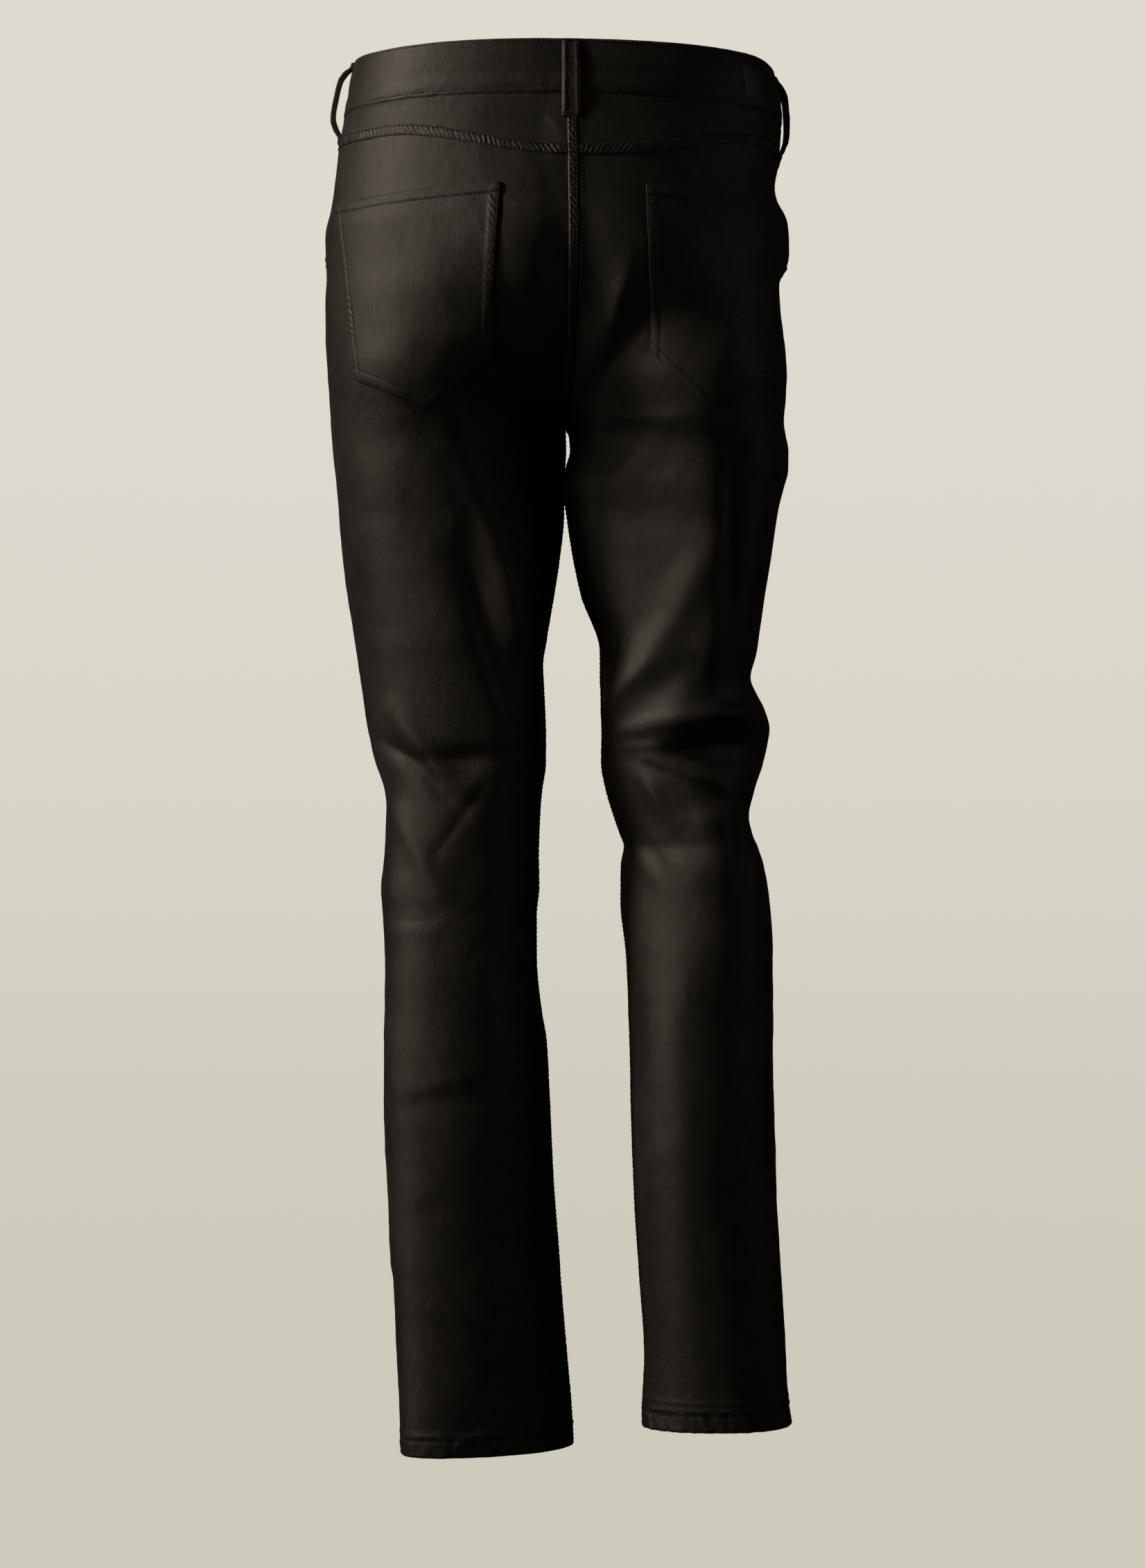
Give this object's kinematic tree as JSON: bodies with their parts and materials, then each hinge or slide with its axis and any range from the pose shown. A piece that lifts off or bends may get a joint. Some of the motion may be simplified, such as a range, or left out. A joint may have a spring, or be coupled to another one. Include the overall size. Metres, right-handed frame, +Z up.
{
  "type": "slim trousers",
  "caption": "Slim coated-twill trousers in their worn shape, open at waist and hems, with a back yoke, patch back pockets, belt loops and a front fly.",
  "frame": {"origin": "middle of the waist opening, half way up the waistband, where the wearer holds the garment up", "axes": "+Z up along the body, the garment's front faces -Y and its back +Y, the wearer's left is +X"},
  "size_m": [0.3485, 0.2434, 1.0362],
  "materials": {
    "twill": "dark coated twill with a satin sheen",
    "patch": "plain, slightly smoother than the twill",
    "zip": "dark woven tape with a dull metal chain",
    "button": "dull, plain"
  },
  "bodies": {
    "root": {"back_left": "twill", "back_right": "twill", "front_left": "twill", "front_right": "twill", "yoke_left": "twill", "yoke_right": "twill", "waistband": "twill", "pocket_left": "twill", "pocket_right": "twill", "pocket_facing_left": "twill", "pocket_facing_right": "twill", "loop_back": "twill", "loop_side_left": "twill", "loop_side_right": "twill", "loop_front_left": "twill", "loop_front_right": "twill", "waist_patch": "patch", "fly_zip": "zip", "waist_button": "button"}
  },
  "joints": []
}
